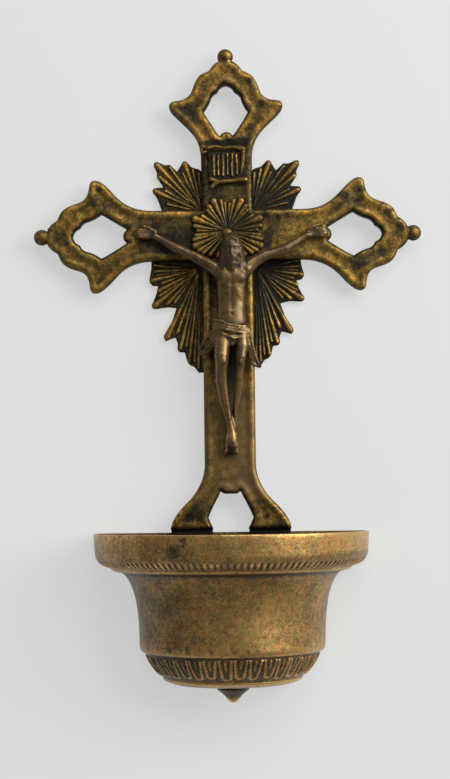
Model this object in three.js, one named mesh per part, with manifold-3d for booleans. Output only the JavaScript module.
// Wall stoup: a cast cross with openwork ends stands on a half-round basin and bears a figure.
// Millimetres. +Z is up, the wall is the plane y = 0 and the front faces -Y.
// The origin is the middle of the face that rests on the wall, on the basin's back plate.
import * as THREE from "three";
import { mergeVertices } from "three/addons/utils/BufferGeometryUtils.js";
import Module from "manifold-3d";

const wasm = await Module();
wasm.setup();

// Layers, from the wall forward
const SHEET = 1.6; // back plate and ray plate
const SEAM = 0.15; // solder or seating gap between faces
const FIT = 0.15; // gap all round a rivet, nail, peg or pivot in its hole
const CROSS_THICK = 4.2;
const CROSS_ROUND = 1.1; // rounding of the cross's front edges

// Basin
const RIM_UP = 20; // rim above the origin
const RIM_RADIUS = 48;
const RIM_BAND = 8.4; // height of the upright band
const RIM_TAPER = 0.6; // how much the band draws in
const FLUTE_DROP = 4.7; // height of the rounded step below the band
const NECK_RADIUS = 38.6; // below the step
const WAIST_RADIUS = 32.6; // foot of the cavetto wall
const WAIST_DROP = 38; // foot of the cavetto wall below the rim
const FLOOR_RADIUS = 21;
const BASIN_HEIGHT = 52.1;
const BASIN_WALL = 1.6;
const FINIAL_RADIUS = 6.2;
const FINIAL_HEIGHT = 5.6;
const FINIAL_OUT = 10; // finial's axis in front of the back plate
const SPIGOT_RADIUS = 1.6;

// Cross
const CROSSING_UP = 104.2; // crossing above the rim
const BAR_HALF = 8.8; // half width of the bars
const ARM_REACH = 36.2; // crossing to the openings' inner ends, top and sides
const FLARE = 10; // how far before an opening its bar starts to widen
const TOP_LENGTH = 30.3; // opening's inner end to the tip of the ball, top
const SIDE_LENGTH = 32; // the same, at the sides
const HORN_HALF = 19.9; // half width over the horns
const BALL_RADIUS = 2.8;
const FOOT_HALF = 20.9; // half width over the feet
const FOOT_INNER = 6.4; // half width between the feet
const FOOT_DROP = 12; // opening's inner end to the soles
const FOOT_GAP = 1.6; // soles above the rim
const TANG_THICK = 2;
const TANG_DEPTH = 9; // tangs below the rim
const TANG_FLARE = 0.5;

// Rivets and nails
const RIVET_RADIUS = 1;
const RIVET_HEAD = 1.9;
const RIVET_DOME = 0.8;
const NAIL_RADIUS = 0.5;
const NAIL_HEAD = 0.95;
const NAIL_DOME = 0.5;
const NAIL_BITE = 1.6; // nails into the cross
const PEG_RADIUS = 0.9;
const PEG_BITE = 1.1;

// Rays from the crossing: degrees above or below the arm, and reach. The left side mirrors the right.
const GLORY_UP = 1; // rivet and nimbus above the crossing
const RAYS = [
  [66.5, 26], [60, 29.5], [53, 28.5], [45.8, 35.2], [40.2, 31.9], [31.6, 30.1], [22, 25],
  [-22, 26], [-29.3, 31], [-36, 30], [-41.6, 35.9], [-50, 31.5], [-57.5, 41.5], [-62.6, 39.6],
  [-66.3, 43.2], [-71.8, 46.2], [-75.8, 48],
];
const RAY_TIP = 0.9; // half width of a ray's tip
const RAY_RIDGE = 0.6; // ridge above the plate
const RAY_NOTCH = 2.6; // notches between neighbouring tips
const HALO = [
  [86, 10.9], [78, 12], [69, 13.2], [59, 12.2], [49, 11.2], [34, 11.6], [22.5, 13], [12, 11.9],
  [4, 10.9], [-5, 11.8], [-13, 12.7], [-22, 13.6], [-31, 13], [-40, 12], [-54, 11], [-70, 10],
];
const HALO_THICK = 1.1;
const HALO_RIDGE = 0.5;
const HALO_TIP = 0.6;
const HALO_NOTCH = 1.1;

// Figure
const FIGURE_UP = -0.7; // its own crossing point from the cross's
const HAND_LEFT = [-28.4, 1.4, 1.3]; // across, off the cross's front, up
const HAND_RIGHT = [30.8, 1.4, 0.5];
const FEET = [0.8, 2.6, -72.6];
const HAND_HALF = [2.3, 0.85, 1.7]; // half sizes of a hand

// Title scroll
const TITLE_UP = 24.1; // middle of its field above the crossing
const TITLE_WIDTH = 13.2;
const TITLE_FIELD = 10;
const TITLE_THICK = 1.1;
const ROLL_RADIUS = 1;
const ROLL_HALF = 7.3;
const ROLL_SHIFT = 0.6; // upper roll to the left, lower roll to the right
const REEDS = 6;

// Hanger in the hollow of the cross's back
const HANGER_UP = 19.4; // pivot above the crossing
const HOLLOW_DEPTH = 1.9;
const WIRE_RADIUS = 0.65;
const RING_HALF = 4.45; // half width of the ring on its wire's centre
const RING_SIDE = 7;
const STRAP_WIDTH = 4.5;
const STRAP_THICK = 0.55;
const STRAP_LENGTH = 5.6;
const RING_ROOM = 1.1; // hollow beyond the ring

// Derived places
const CROSS_BACK = SHEET + SEAM;
const FRONT = CROSS_BACK + CROSS_THICK;
const CROSSING = RIM_UP + CROSSING_UP;
const LEG_REACH = CROSSING_UP - FOOT_GAP - FOOT_DROP; // crossing to the opening between the feet
const GLORY = CROSSING + GLORY_UP;
const TITLE = CROSSING + TITLE_UP;
const FIGURE = CROSSING + FIGURE_UP;
const AXIS_Y = -SHEET - SEAM;
const KNUCKLE = WIRE_RADIUS + FIT + STRAP_THICK;
const STRAP_FLOOR = CROSS_BACK + HOLLOW_DEPTH - SEAM;
const PIVOT_OUT = STRAP_FLOOR - KNUCKLE;
const PIVOT = CROSSING + HANGER_UP;
const RING_LENGTH = RING_SIDE + RING_HALF + WIRE_RADIUS;
const HOLLOW_HALF = RING_HALF + WIRE_RADIUS + RING_ROOM + SEAM;
const HOLLOW_LOW = HANGER_UP - RING_LENGTH - RING_ROOM - SEAM;
const HANGER_RIVET = PIVOT - STRAP_LENGTH * 0.65;
const HANGER_BITE = CROSS_BACK + HOLLOW_DEPTH + 1.1;
const FOOT_MID = (FOOT_INNER + FOOT_HALF) / 2;
const FOOT_RIVETS = [-FOOT_MID, FOOT_MID];
const FOOT_RIVET_Z = RIM_UP - TANG_DEPTH / 2;
const PEGS = [TITLE - TITLE_FIELD * 0.3, TITLE + TITLE_FIELD * 0.3];
// Nails: name, place, and the height of their heads' seats in the figure
const NAILS = [
  ["hand_nail_left", HAND_LEFT[0], FIGURE + HAND_LEFT[2], HAND_LEFT[1] + HAND_HALF[1]],
  ["hand_nail_right", HAND_RIGHT[0], FIGURE + HAND_RIGHT[2], HAND_RIGHT[1] + HAND_HALF[1]],
  ["foot_nail", FEET[0], FIGURE + FEET[2], FEET[1] + 1.7],
];

const BRASS = new THREE.MeshStandardMaterial({ color: 0x8a6c38, metalness: 0.9, roughness: 0.45 });
const COPPER = new THREE.MeshStandardMaterial({ color: 0x7a5636, metalness: 0.9, roughness: 0.42 });
const STEEL = new THREE.MeshStandardMaterial({ color: 0x77736b, metalness: 0.9, roughness: 0.4 });

// Turns a closed geometry into a solid that can be joined and cut.
function solid(geometry) {
  geometry.deleteAttribute("normal");
  geometry.deleteAttribute("uv");
  const welded = mergeVertices(geometry, 1e-4);
  const index = welded.index.array;
  const kept = [];
  for (let i = 0; i < index.length; i += 3) {
    const [a, b, c] = [index[i], index[i + 1], index[i + 2]];
    if (a !== b && b !== c && c !== a) kept.push(a, b, c);
  }
  return new wasm.Manifold(new wasm.Mesh({
    numProp: 3,
    vertProperties: new Float32Array(welded.attributes.position.array),
    triVerts: new Uint32Array(kept),
  }));
}

// Joins a list of solids.
const join = (parts) => parts.reduce((whole, part) => whole.add(part));

// Makes the named mesh of a solid.
function piece(name, body, finish) {
  const found = body.getMesh();
  const geometry = new THREE.BufferGeometry();
  geometry.setAttribute("position", new THREE.BufferAttribute(new Float32Array(found.vertProperties), 3));
  geometry.setIndex(new THREE.BufferAttribute(new Uint32Array(found.triVerts), 1));
  geometry.computeVertexNormals();
  const mesh = new THREE.Mesh(geometry, finish);
  mesh.name = name;
  return mesh;
}

// A box between two corners.
function box(low, high) {
  const size = high.map((value, i) => value - low[i]);
  const geometry = new THREE.BoxGeometry(...size);
  geometry.translate(...low.map((value, i) => value + size[i] / 2));
  return solid(geometry);
}

// A flat plate from an outline in x and z; its back lies the given distance in front of the wall.
function plate(outline, back, thick, holes = []) {
  const shape = new THREE.Shape(outline);
  shape.holes = holes.map((hole) => new THREE.Path(hole));
  const geometry = new THREE.ExtrudeGeometry(shape, { depth: thick, bevelEnabled: false });
  geometry.rotateX(Math.PI / 2);
  geometry.translate(0, -back, 0);
  return solid(geometry);
}

// A plate with rounded front edges.
function roundedPlate(outline, back, thick, round, holes) {
  const shape = new THREE.Shape(outline);
  shape.holes = holes.map((hole) => new THREE.Path(hole));
  const geometry = new THREE.ExtrudeGeometry(shape, {
    depth: thick - round,
    bevelThickness: round,
    bevelSize: round,
    bevelOffset: -round,
    bevelSegments: 2,
  });
  geometry.rotateX(Math.PI / 2);
  geometry.translate(0, -back, 0);
  const far = 400;
  return solid(geometry).subtract(box([-far, -back, -far], [far, far, far]));
}

// A solid of revolution about the upright through (0, y); its profile starts and ends on the axis.
function turned(profile, y, sides) {
  const geometry = new THREE.LatheGeometry(profile.map(([r, z]) => new THREE.Vector2(r, z)), sides);
  geometry.rotateX(Math.PI / 2);
  geometry.translate(0, y, 0);
  return solid(geometry);
}

// The same, about an axis along Y through (x, z), with its profile's heights measured out from the wall.
function stud(profile, x, z, sides = 12) {
  const geometry = new THREE.LatheGeometry(profile.map(([r, out]) => new THREE.Vector2(r, out)), sides);
  geometry.rotateX(Math.PI);
  geometry.translate(x, 0, z);
  return solid(geometry);
}

// A round hole along Y.
const bore = (radius, x, z, from, to) => stud([[0, from], [radius, from], [radius, to], [0, to]], x, z);

// A ball or ellipsoid.
function ball(at, radii, sides = 10) {
  const geometry = new THREE.SphereGeometry(1, sides, Math.round(sides * 0.7));
  geometry.rotateX(Math.PI / 2);
  geometry.scale(...radii);
  geometry.translate(...at);
  return solid(geometry);
}

// A tapered round bar between two points.
function bar(from, to, r0, r1, sides = 8) {
  const [a, b] = [new THREE.Vector3(...from), new THREE.Vector3(...to)];
  const way = b.clone().sub(a);
  const geometry = new THREE.CylinderGeometry(r1, r0, way.length(), sides);
  const turn = new THREE.Quaternion().setFromUnitVectors(new THREE.Vector3(0, 1, 0), way.clone().normalize());
  geometry.applyQuaternion(turn);
  geometry.translate(...a.add(b).multiplyScalar(0.5).toArray());
  return solid(geometry);
}

// Points along curves given by their control points; each curve starts where the last one ended.
function trace(start, curves) {
  let from = new THREE.Vector2(...start);
  const points = [from];
  for (const [steps, ...controls] of curves) {
    const given = controls.map((pair) => new THREE.Vector2(...pair));
    const kinds = [THREE.LineCurve, THREE.QuadraticBezierCurve, THREE.CubicBezierCurve];
    const curve = new kinds[given.length - 1](from, ...given);
    points.push(...curve.getPoints(steps).slice(1));
    from = given[given.length - 1];
  }
  return points;
}

// Half of an openwork end, from the bar to the ball's tip.
// Points are (half width, distance from the opening's inner end), as shares of the horn and the length.
function endHalf(length) {
  const at = (across, along) => [across * HORN_HALF, along * length];
  const flat = BALL_RADIUS * 0.7;
  const centre = length - BALL_RADIUS;
  const rise = Math.sqrt(BALL_RADIUS ** 2 - flat ** 2);
  const points = trace([BAR_HALF, -FLARE], [
    [5, [BAR_HALF, -0.22 * FLARE], at(0.754, 0.073), at(1, 0.317)],
    [3, at(1.025, 0.383), at(0.894, 0.383)],
    [4, at(0.764, 0.393), at(0.648, 0.422), at(0.608, 0.497)],
    [4, at(0.568, 0.561), at(0.543, 0.653), at(0.432, 0.693)],
    [1, at(0.289, 0.733)],
    [3, at(0.271, 0.812), [flat, centre - rise]],
  ]);
  const start = -Math.asin(rise / BALL_RADIUS);
  for (let i = 1; i <= 5; i += 1) {
    const turn = start + ((Math.PI / 2 - start) * i) / 5;
    points.push(new THREE.Vector2(BALL_RADIUS * Math.cos(turn), centre + BALL_RADIUS * Math.sin(turn)));
  }
  return points;
}

// Half of an opening, from its far point to the nub at its inner end, in the same shares.
function openingHalf(length) {
  const at = (across, along) => [across * HORN_HALF, along * length];
  return trace(at(0, 0.571), [
    [2, at(0.121, 0.554), at(0.151, 0.488)],
    [2, at(0.221, 0.475), at(0.261, 0.426)],
    [3, at(0.291, 0.337), at(0.397, 0.254)],
    [3, at(0.332, 0.178), at(0.151, 0)],
    [1, at(0.116, -0.033)],
    [3, at(0.08, 0.017), at(0, 0.017)],
  ]);
}

// One foot of the cross, from the bar out and round to the nub between the feet.
function footHalf() {
  const outer = (across, along) => [across * FOOT_HALF, along * FOOT_DROP];
  const inner = (across, along) => [across * FOOT_INNER, along * FOOT_DROP];
  return trace([BAR_HALF, -FLARE], [
    [5, [BAR_HALF, -0.22 * FLARE], outer(0.72, 0.18), outer(0.967, 0.84)],
    [1, outer(1, 1)],
    [1, inner(1, 1)],
    [2, inner(1.17, 0.85), inner(1.31, 0.683)],
    [3, inner(1.06, 0.417), inner(0.5, 0)],
    [1, inner(0.375, -0.083)],
    [3, inner(0.25, 0.042), inner(0, 0.042)],
  ]);
}

const flipped = (points) => points.map(({ x, y }) => new THREE.Vector2(-x, y));

// Both sides of an arm: out along its left side, over the middle line and back along its right side.
const bothSides = (half) => [...flipped(half), ...half.slice(0, -1).reverse()];

// A closed loop from a half that starts and ends on the middle line; it turns against the outline.
const loop = (half) => [...flipped(half), ...half.slice(1, -1).reverse()];

// Sets (half width, distance) points along one of the cross's arms: 0 points up, 1 to +X, 2 down, 3 to -X.
function onArm(points, quarter, reach) {
  const sin = [0, 1, 0, -1][quarter];
  const cos = [1, 0, -1, 0][quarter];
  return points.map(({ x, y }) => new THREE.Vector2(
    x * cos + (reach + y) * sin,
    CROSSING - x * sin + (reach + y) * cos,
  ));
}

// The four arms of the cross, each with its reach and its half outline.
const ARMS = [
  [ARM_REACH, endHalf(TOP_LENGTH)],
  [ARM_REACH, endHalf(SIDE_LENGTH)],
  [LEG_REACH, footHalf()],
  [ARM_REACH, endHalf(SIDE_LENGTH)],
];

// The cross: bars, ends and tangs, with a hollow in its back and holes for all that it carries.
function makeCross() {
  const outline = ARMS.flatMap(([reach, half], quarter) => [
    ...onArm(bothSides(half), quarter, reach),
    ...onArm([new THREE.Vector2(BAR_HALF, BAR_HALF - reach)], quarter, reach),
  ]);
  const holes = [[TOP_LENGTH, 0], [SIDE_LENGTH, 1], [SIDE_LENGTH, 3]].map(
    ([length, quarter]) => onArm(loop(openingHalf(length)), quarter, ARM_REACH),
  );
  const parts = [roundedPlate(outline, CROSS_BACK, CROSS_THICK, CROSS_ROUND, holes)];
  for (const side of [-1, 1]) {
    const tang = [
      [FOOT_INNER + TANG_FLARE, FOOT_GAP + 1],
      [FOOT_INNER - TANG_FLARE, -TANG_DEPTH],
      [FOOT_HALF + TANG_FLARE, -TANG_DEPTH],
      [FOOT_HALF - TANG_FLARE, FOOT_GAP + 1],
    ];
    const corners = tang.map(([x, z]) => new THREE.Vector2(side * x, RIM_UP + z));
    parts.push(plate(corners, CROSS_BACK, TANG_THICK));
  }
  const far = CROSS_BACK + CROSS_THICK + 1;
  const room = RING_HALF + WIRE_RADIUS + RING_ROOM;
  const reach = RING_LENGTH + RING_ROOM;
  const cuts = [
    box([-room, -CROSS_BACK - HOLLOW_DEPTH, PIVOT - reach], [room, 0, PIVOT + reach]),
    bore(RIVET_RADIUS + FIT, 0, GLORY, 0, far),
    bore(RIVET_RADIUS + FIT, 0, HANGER_RIVET, 0, HANGER_BITE + SEAM),
    ...FOOT_RIVETS.map((x) => bore(RIVET_RADIUS + FIT, x, FOOT_RIVET_Z, 0, far)),
    ...NAILS.map(([, x, z]) => bore(NAIL_RADIUS + FIT, x, z, FRONT - NAIL_BITE - SEAM, far)),
    ...PEGS.map((z) => bore(PEG_RADIUS + FIT, 0, z, FRONT - PEG_BITE - SEAM, far)),
  ];
  return join(parts).subtract(join(cuts));
}

// A plate of rays: rounded tips with notches between them, and a ridge along each ray.
function rayPlate(rays, middle, back, thick, ridge, tip, notch, ends) {
  const at = (degrees, r) => new THREE.Vector2(
    r * Math.cos((degrees * Math.PI) / 180),
    middle + r * Math.sin((degrees * Math.PI) / 180),
  );
  const side = rays.flatMap(([angle, reach], i) => {
    const spread = (Math.atan(tip / reach) * 180) / Math.PI;
    const points = [at(angle + spread, reach - tip), at(angle, reach), at(angle - spread, reach - tip)];
    if (i + 1 < rays.length) {
      const [next, nextReach] = rays[i + 1];
      points.push(at((angle + next) / 2, Math.min(reach, nextReach) - notch));
    }
    return points;
  });
  const first = ends[0].map(([x, z]) => new THREE.Vector2(x, middle + z));
  const last = ends[1].map(([x, z]) => new THREE.Vector2(x, middle + z));
  const half = [...first, ...side, ...last];
  const body = plate([...half, ...flipped(half).reverse()], back, thick - ridge);
  const out = back + thick - ridge;
  const both = [...rays, ...rays.map(([angle, reach]) => [180 - angle, reach])];
  const ridges = both.map(([angle, reach]) => {
    const near = at(angle, reach * 0.3);
    const end = at(angle, reach - tip);
    return bar([near.x, -out, near.y], [end.x, -out, end.y], ridge * 0.4, ridge, 6);
  });
  return join([body, ...ridges]);
}

// A rivet or nail: a shank from the first distance, under a domed head.
const rivet = (x, z, from, seat, shank, head, dome) => stud([
  [0, from], [shank, from], [shank, seat], [head, seat], [head * 0.8, seat + dome * 0.7], [0, seat + dome],
], x, z);

// The basin's outer profile, from the rim down to the floor, as (radius, height).
function basinProfile() {
  const band = RIM_RADIUS - RIM_TAPER;
  const step = RIM_BAND + FLUTE_DROP;
  return trace([RIM_RADIUS, 0], [
    [1, [band, -RIM_BAND]],
    [3, [band - 1.4, 1.3 - step], [NECK_RADIUS + 1.8, -step]],
    [1, [NECK_RADIUS + 1.6, -step - 1.3]],
    [1, [NECK_RADIUS, -step - 1.8]],
    [4, [WAIST_RADIUS + 1, -step - 8.4], [WAIST_RADIUS, -WAIST_DROP]],
    [1, [WAIST_RADIUS - 0.4, -WAIST_DROP - 1.6]],
    [4, [WAIST_RADIUS - 3.4, 4.6 - BASIN_HEIGHT], [FLOOR_RADIUS, -BASIN_HEIGHT]],
  ]).map(({ x, y }) => [x, RIM_UP + y]);
}

// The same profile moved inward by the wall's thickness.
function innerProfile(outer) {
  return outer.map(([r, z], i) => {
    const [r0, z0] = outer[Math.max(i - 1, 0)];
    const [r1, z1] = outer[Math.min(i + 1, outer.length - 1)];
    const run = Math.hypot(r1 - r0, z1 - z0);
    const rise = i === 0 ? 0 : ((r0 - r1) / run) * BASIN_WALL;
    return [r + ((z1 - z0) / run) * BASIN_WALL, z + rise];
  });
}

function makeBasin() {
  const outer = basinProfile();
  const floor = RIM_UP - BASIN_HEIGHT + BASIN_WALL;
  const inner = innerProfile(outer).filter(([, z]) => z > floor + 0.4);
  const [foot] = inner[inner.length - 1];
  const inside = [...inner, [foot - 0.6, floor], [0, floor]];
  const profile = [[0, RIM_UP - BASIN_HEIGHT], ...outer.slice().reverse(), ...inside];
  const far = 400;
  return turned(profile, AXIS_Y, 56)
    .subtract(box([-far, AXIS_Y, -far], [far, far, far]))
    .subtract(turned([
      [0, floor + 1], [SPIGOT_RADIUS + FIT, floor + 1], [SPIGOT_RADIUS + FIT, -far], [0, -far],
    ].reverse(), AXIS_Y - FINIAL_OUT, 16));
}

function makeBackPlate() {
  const side = basinProfile().map(([r, z]) => new THREE.Vector2(r, z));
  const holes = FOOT_RIVETS.map((x) => bore(RIVET_RADIUS + FIT, x, FOOT_RIVET_Z, -1, SHEET + 1));
  return plate([...side, ...flipped(side).reverse()], 0, SHEET).subtract(join(holes));
}

function makeFinial() {
  const top = RIM_UP - BASIN_HEIGHT - SEAM;
  const low = top - FINIAL_HEIGHT;
  const drop = trace([0, low], [
    [3, [FINIAL_RADIUS * 0.32, low], [FINIAL_RADIUS * 0.42, low + FINIAL_HEIGHT * 0.3]],
    [3, [FINIAL_RADIUS * 0.7, low + FINIAL_HEIGHT * 0.5], [FINIAL_RADIUS, top - 0.8]],
    [1, [FINIAL_RADIUS, top]],
  ]).map(({ x, y }) => [x, y]);
  const end = top + SEAM + BASIN_WALL + 0.5;
  return turned([...drop, [SPIGOT_RADIUS, top], [SPIGOT_RADIUS, end], [0, end]], AXIS_Y - FINIAL_OUT, 20);
}

// The title scroll: a reeded field between two rolls, with pegs behind.
function makeTitle() {
  const back = FRONT + SEAM;
  const half = TITLE_WIDTH / 2;
  const tall = TITLE_FIELD / 2;
  const out = back + ROLL_RADIUS;
  const roll = tall + ROLL_RADIUS * 0.85;
  const parts = [box([-half, -back - TITLE_THICK, TITLE - tall - 0.5], [half, -back, TITLE + tall + 0.5])];
  for (const [up, mid] of [[roll, -ROLL_SHIFT], [-roll, ROLL_SHIFT]]) {
    const [low, high] = [mid - ROLL_HALF, mid + ROLL_HALF];
    parts.push(bar([low, -out, TITLE + up], [high, -out, TITLE + up], ROLL_RADIUS, ROLL_RADIUS, 10));
  }
  for (let i = 0; i < REEDS; i += 1) {
    const x = (i - (REEDS - 1) / 2) * (TITLE_WIDTH / REEDS);
    const face = -back - TITLE_THICK;
    parts.push(bar([x, face, TITLE - tall + 0.7], [x, face, TITLE + tall - 0.7], 0.5, 0.5, 6));
  }
  const pegs = PEGS.map((z) => bore(PEG_RADIUS, 0, z, FRONT - PEG_BITE, back + 0.5));
  return join([...parts, ...pegs]);
}

// The figure's limbs: chains of [x, distance off the cross's front, height, radius].
const LIMBS = [
  [[-4.4, 4, -11.6, 2], [-15.6, 3.2, -5.8, 1.45], [-24.6, 1.8, -0.8, 1], [-28.2, 1.5, 1.2, 1],
    [-31.6, 1.3, 2.4, 0.7]],
  [[7.2, 4, -11.2, 2], [17, 3.2, -6.2, 1.45], [26.3, 1.8, -1.1, 1], [30.6, 1.5, 0.5, 1],
    [34, 1.3, 0.2, 0.7]],
  [[1.4, 5, -15, 2], [1.4, 6, -8, 2]],
  [[1.5, 8.4, -8.6, 2], [1.6, 8, -12.6, 0.7]],
  [[-2.6, 5.6, -4.5, 1.5], [-3.2, 5, -11.6, 1]],
  [[5.4, 5.6, -4.5, 1.5], [6.2, 5, -11.6, 1]],
  [[-2.3, 4.8, -35, 2.9], [-2.1, 7.2, -45, 2.1], [-2.5, 5.4, -53, 1.8], [0.4, 3.2, -66.8, 1.2],
    [0.7, 3.4, -70.6, 1.6], [0.9, 1.9, -75.4, 1.2]],
  [[4.8, 4.6, -34.6, 2.8], [3.9, 6.8, -45, 2.1], [3.5, 4.8, -53, 1.7], [1.9, 2.2, -66, 1.2],
    [1.2, 2.2, -70.6, 1.4]],
  [[-3.4, 4, -33, 2.2], [-8.8, 2.6, -39.4, 1.2]],
  [[6.4, 4, -34, 1.9], [9, 2.8, -45.2, 1.7]],
];
// Its masses: place as above, then radii across, out and up.
const MASSES = [
  [[1.4, 6, -5.2], [3.9, 4.4, 5.5]],
  [[1.4, 4.6, -17.2], [5.2, 3.5, 5.4]],
  [[1.1, 4.4, -25.6], [4.4, 3.2, 6.4]],
  [[1, 4.6, -33.2], [6.2, 4, 4.8]],
  [HAND_LEFT, HAND_HALF],
  [HAND_RIGHT, HAND_HALF],
];

function makeCorpus() {
  const place = ([x, out, z]) => [x, -FRONT - out, FIGURE + z];
  const parts = MASSES.map(([at, radii]) => ball(place(at), radii, 10));
  for (const limb of LIMBS) {
    limb.forEach((point, i) => {
      parts.push(ball(place(point), [point[3], point[3], point[3]], 6));
      if (i > 0) parts.push(bar(place(limb[i - 1]), place(point), limb[i - 1][3], point[3], 6));
    });
  }
  const holes = NAILS.flatMap(([, x, z, out]) => [
    bore(NAIL_RADIUS + FIT, x, z, FRONT, FRONT + 12),
    bore(NAIL_HEAD + FIT, x, z, FRONT + out, FRONT + 12),
  ]);
  return join(parts).subtract(join(holes));
}

// The hanger's strap: a tab on the hollow's floor with a knuckle rolled round the pivot.
function makeStrap() {
  const half = STRAP_WIDTH / 2;
  const tab = box(
    [-half, -STRAP_FLOOR, PIVOT - STRAP_LENGTH],
    [half, STRAP_THICK - STRAP_FLOOR, PIVOT],
  );
  const knuckle = bar([-half, -PIVOT_OUT, PIVOT], [half, -PIVOT_OUT, PIVOT], KNUCKLE, KNUCKLE, 16);
  const room = WIRE_RADIUS + FIT;
  const eye = bar([-half - 1, -PIVOT_OUT, PIVOT], [half + 1, -PIVOT_OUT, PIVOT], room, room, 16);
  const hole = bore(RIVET_RADIUS + FIT, 0, HANGER_RIVET, 0, STRAP_FLOOR + 1);
  return tab.add(knuckle).subtract(eye).subtract(hole);
}

// The hanger's ring, at rest: its straight side runs in the knuckle and its bow hangs below.
function makeRing() {
  const low = PIVOT - RING_SIDE;
  const bow = new THREE.TorusGeometry(RING_HALF, WIRE_RADIUS, 8, 24);
  bow.rotateX(Math.PI / 2);
  bow.translate(0, -PIVOT_OUT, low);
  const far = 40;
  const half = solid(bow).subtract(box([-far, -far, low], [far, far, low + far]));
  const spot = (x, z) => [x, -PIVOT_OUT, z];
  const parts = [half, bar(spot(-RING_HALF, PIVOT), spot(RING_HALF, PIVOT), WIRE_RADIUS, WIRE_RADIUS, 12)];
  for (const x of [-RING_HALF, RING_HALF]) {
    parts.push(bar(spot(x, low - 0.05), spot(x, PIVOT), WIRE_RADIUS, WIRE_RADIUS, 8));
    parts.push(ball(spot(x, PIVOT), [WIRE_RADIUS, WIRE_RADIUS, WIRE_RADIUS], 8));
  }
  return join(parts);
}

// The hanger's rivet: its shank goes into the cross and its head lies on the strap.
function makeHangerRivet() {
  const seat = STRAP_FLOOR - STRAP_THICK - SEAM;
  const low = seat - RIVET_DOME;
  const head = RIVET_HEAD - 0.3;
  const profile = [[0, low], [head * 0.8, low + RIVET_DOME * 0.3], [head, seat], [RIVET_RADIUS, seat]];
  return stud([...profile, [RIVET_RADIUS, HANGER_BITE], [0, HANGER_BITE]], 0, HANGER_RIVET);
}

const rayEnds = [
  [[HOLLOW_HALF, HOLLOW_LOW], [HOLLOW_HALF, RAYS[0][1] * 0.8]],
  [[BAR_HALF, -RAYS[RAYS.length - 1][1] * 0.86]],
];
const haloEnds = [[[0.4, HALO[0][1] * 0.8]], [[1, -HALO[HALO.length - 1][1] * 0.9]]];
const haloFace = FRONT + SEAM + HALO_THICK - HALO_RIDGE;
const glory = bore(RIVET_RADIUS + FIT, 0, GLORY, -1, FRONT + 9);
const rays = rayPlate(RAYS, CROSSING, 0, SHEET, RAY_RIDGE, RAY_TIP, RAY_NOTCH, rayEnds);
const halo = rayPlate(HALO, GLORY, FRONT + SEAM, HALO_THICK, HALO_RIDGE, HALO_TIP, HALO_NOTCH, haloEnds);
const haloRivet = rivet(0, GLORY, SEAM, haloFace + HALO_RIDGE, RIVET_RADIUS, RIVET_HEAD, RIVET_DOME);

const part = new THREE.Group();
part.name = "holy_water_stoup";
part.add(
  piece("cross", makeCross(), BRASS),
  piece("ray_plate", rays.subtract(glory), BRASS),
  piece("nimbus", halo.subtract(glory), BRASS),
  piece("glory_rivet", haloRivet, BRASS),
  piece("title_scroll", makeTitle(), BRASS),
  piece("corpus", makeCorpus(), COPPER),
  ...NAILS.map(([name, x, z, out]) => piece(
    name,
    rivet(x, z, FRONT - NAIL_BITE, FRONT + out + SEAM, NAIL_RADIUS, NAIL_HEAD, NAIL_DOME),
    BRASS,
  )),
  piece("basin", makeBasin(), BRASS),
  piece("back_plate", makeBackPlate(), BRASS),
  piece("finial", makeFinial(), BRASS),
  ...FOOT_RIVETS.map((x) => piece(
    x < 0 ? "foot_rivet_left" : "foot_rivet_right",
    rivet(x, FOOT_RIVET_Z, SEAM, CROSS_BACK + TANG_THICK + SEAM, RIVET_RADIUS, RIVET_HEAD, RIVET_DOME),
    BRASS,
  )),
  piece("hanger_strap", makeStrap(), STEEL),
  piece("hanger_ring", makeRing(), STEEL),
  piece("hanger_rivet", makeHangerRivet(), STEEL),
);

export default part;
